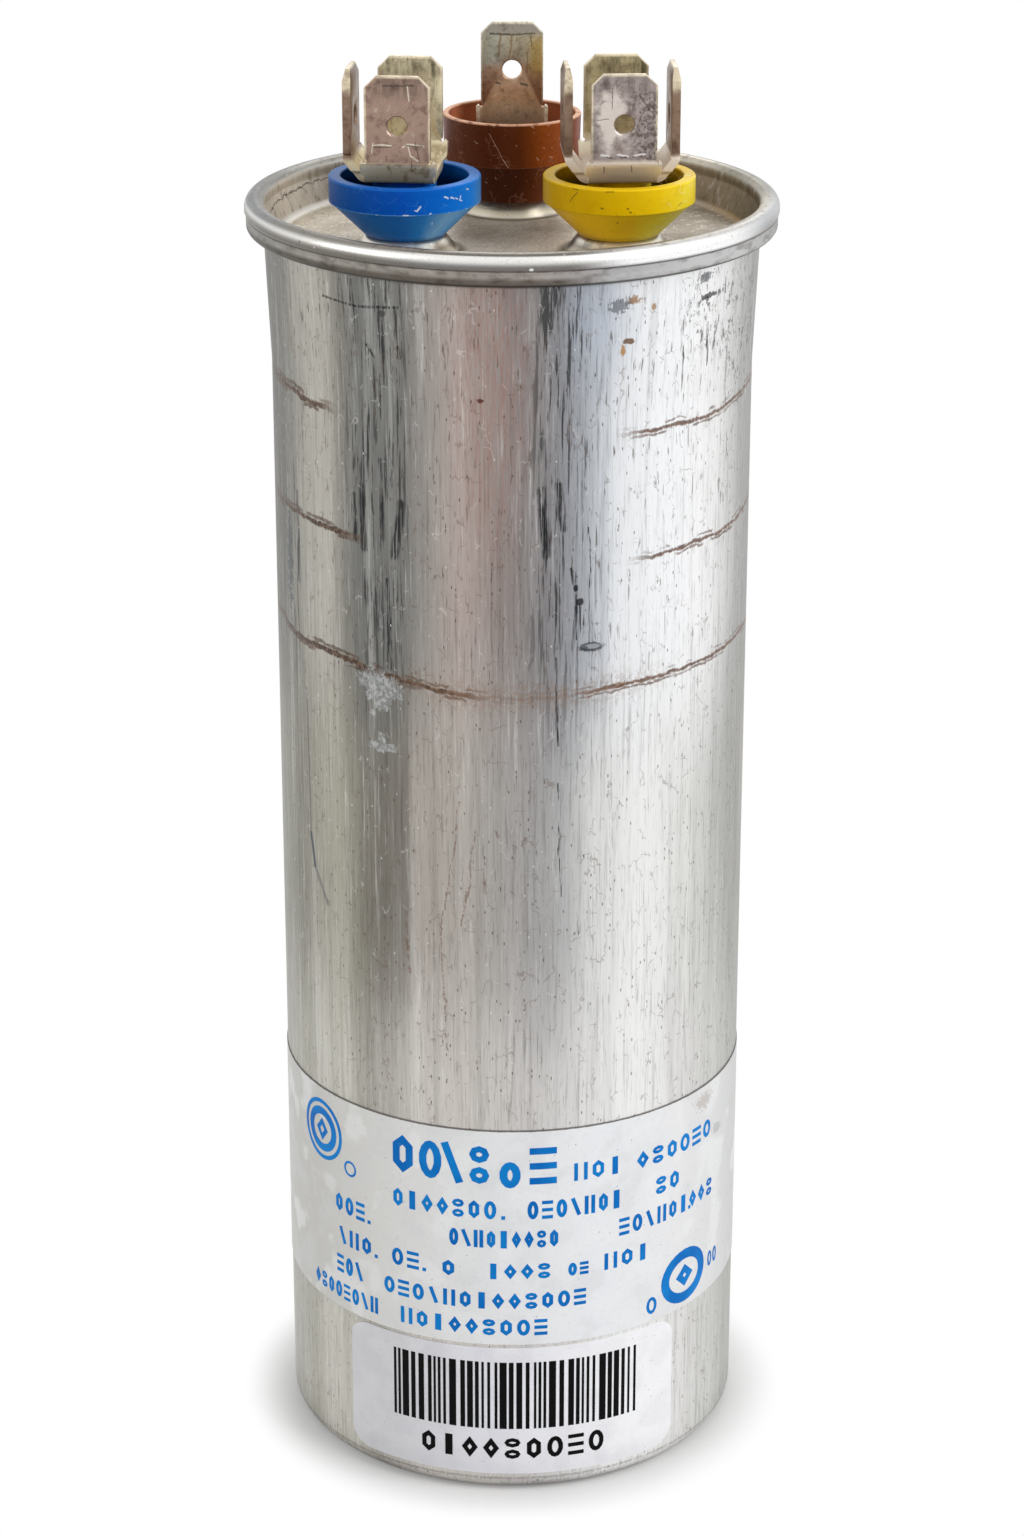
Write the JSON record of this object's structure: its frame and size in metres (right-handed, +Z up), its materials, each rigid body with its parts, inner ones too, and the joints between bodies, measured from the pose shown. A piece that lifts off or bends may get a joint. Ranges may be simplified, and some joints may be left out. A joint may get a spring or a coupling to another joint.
{
  "type": "motor run capacitor",
  "caption": "Motor run capacitor: round aluminium can with a seamed, sunk cover that carries coloured insulator cups with push-on blade tabs.",
  "frame": {"origin": "centre of the can's flat base", "axes": "+Z up along the can's axis, the single brown tab towards +Y, the blue terminal towards -X and the yellow one towards +X"},
  "size_m": [0.0528, 0.0528, 0.1476],
  "materials": {
    "can_aluminium": "drawn, streaked and lightly stained",
    "cover_sheet": "pressed tinned sheet, dull on the deck and bright on the rolled rim",
    "blue_plastic": "glossy moulded plastic",
    "yellow_plastic": "glossy moulded plastic",
    "brown_plastic": "glossy moulded plastic",
    "tab_metal": "tin-plated brass, stained",
    "rivet_steel": "plated",
    "gasket_rubber": "matt",
    "washer_board": "pressed board",
    "lug_brass": "plain",
    "blue_insulation": "extruded",
    "yellow_insulation": "extruded",
    "brown_insulation": "extruded",
    "inner_plastic": "moulded",
    "winding_film": "metallised film, wound",
    "sprayed_zinc": "sprayed metal, granular",
    "wrap_film": "clear film",
    "label_film": "silvery printed film",
    "label_paper": "printed paper"
  },
  "bodies": {
    "root": {"can": "can_aluminium", "cover": "cover_sheet", "blue_cup": "blue_plastic", "yellow_cup": "yellow_plastic", "brown_cup": "brown_plastic", "blue_tabs": "tab_metal", "yellow_tabs": "tab_metal", "brown_tab": "tab_metal", "blue_rivet": "rivet_steel", "yellow_rivet": "rivet_steel", "brown_rivet": "rivet_steel", "blue_gasket": "gasket_rubber", "yellow_gasket": "gasket_rubber", "brown_gasket": "gasket_rubber", "blue_washer": "washer_board", "yellow_washer": "washer_board", "brown_washer": "washer_board", "blue_lug": "lug_brass", "yellow_lug": "lug_brass", "brown_lug": "lug_brass", "blue_lead": "blue_insulation", "yellow_lead": "yellow_insulation", "brown_lead": "brown_insulation", "bottom_cup": "inner_plastic", "section_spacer": "inner_plastic", "top_spacer": "inner_plastic", "large_core": "inner_plastic", "small_core": "inner_plastic", "large_winding": "winding_film", "small_winding": "winding_film", "large_bottom_contact": "sprayed_zinc", "large_top_contact": "sprayed_zinc", "small_bottom_contact": "sprayed_zinc", "small_top_contact": "sprayed_zinc", "winding_wrap": "wrap_film", "rating_label": "label_film", "serial_label": "label_paper"}
  },
  "joints": []
}
